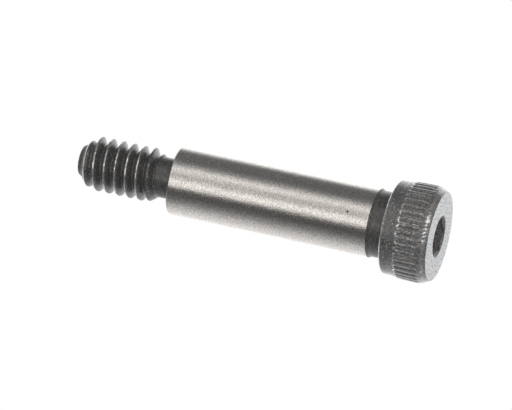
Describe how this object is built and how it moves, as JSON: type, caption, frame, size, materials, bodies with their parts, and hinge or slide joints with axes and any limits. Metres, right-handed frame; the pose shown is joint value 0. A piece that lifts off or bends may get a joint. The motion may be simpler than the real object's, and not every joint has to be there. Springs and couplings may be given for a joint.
{
  "type": "shoulder bolt",
  "caption": "Socket head shoulder bolt: a ground cylindrical shoulder between a knurled round head with a hexagon socket and a smaller coarse thread.",
  "frame": {"origin": "centre of the head's outer flat face, on the axis; the bolt stands on that face", "axes": "+Z along the axis from the head towards the thread's tip; a thread crest faces +X, and one corner of the hexagon socket lies 8 degrees from +X"},
  "size_m": [0.0112, 0.0112, 0.0421],
  "materials": {
    "steel": "alloy steel with black oxide on the head, necks and thread; the shoulder is ground bright"
  },
  "bodies": {
    "root": {"shoulder_bolt": "steel"}
  },
  "joints": []
}
